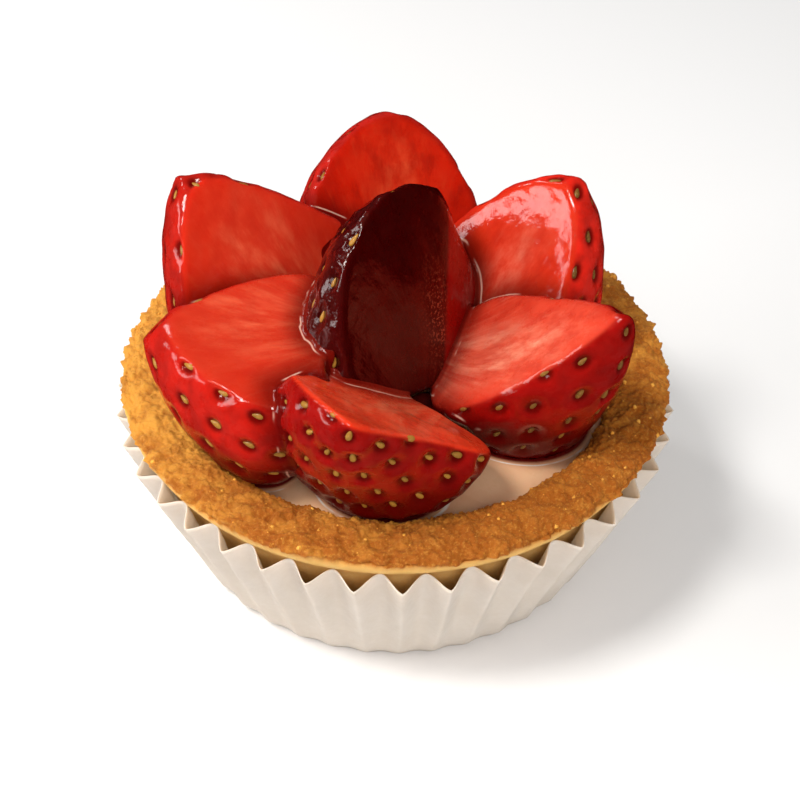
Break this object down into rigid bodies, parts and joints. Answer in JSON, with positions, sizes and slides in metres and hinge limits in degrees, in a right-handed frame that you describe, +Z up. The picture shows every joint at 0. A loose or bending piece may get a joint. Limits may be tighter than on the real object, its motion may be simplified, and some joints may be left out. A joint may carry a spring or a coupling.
{
  "type": "strawberry tart",
  "caption": "Round pastry tart in a fluted paper case, with a rough rim, a cream filling and cut strawberries set like petals round an upright one.",
  "frame": {"origin": "centre of the paper case's flat base, on the surface it stands on", "axes": "+Z up, -Y is the front, +X is to the right seen from the front"},
  "size_m": [0.0824, 0.0824, 0.0608],
  "materials": {
    "case_paper": "thin pleated white baking paper, matt",
    "pastry": "baked shortcrust pastry, golden, fine crumb, matt (food)",
    "cream": "smooth pastry cream under a thin clear glaze (food)",
    "berry": "cut strawberry, glazed and wet (food)",
    "dark_berry": "cut strawberry, very ripe and dark, glazed and wet (food)"
  },
  "bodies": {
    "root": {"paper_case": "case_paper", "pastry_shell": "pastry", "cream_filling": "cream", "berry_centre": "dark_berry", "berry_front": "berry", "berry_front_left": "berry", "berry_front_right": "berry", "berry_back_left": "berry", "berry_back_right": "berry", "berry_back": "berry"}
  },
  "joints": []
}
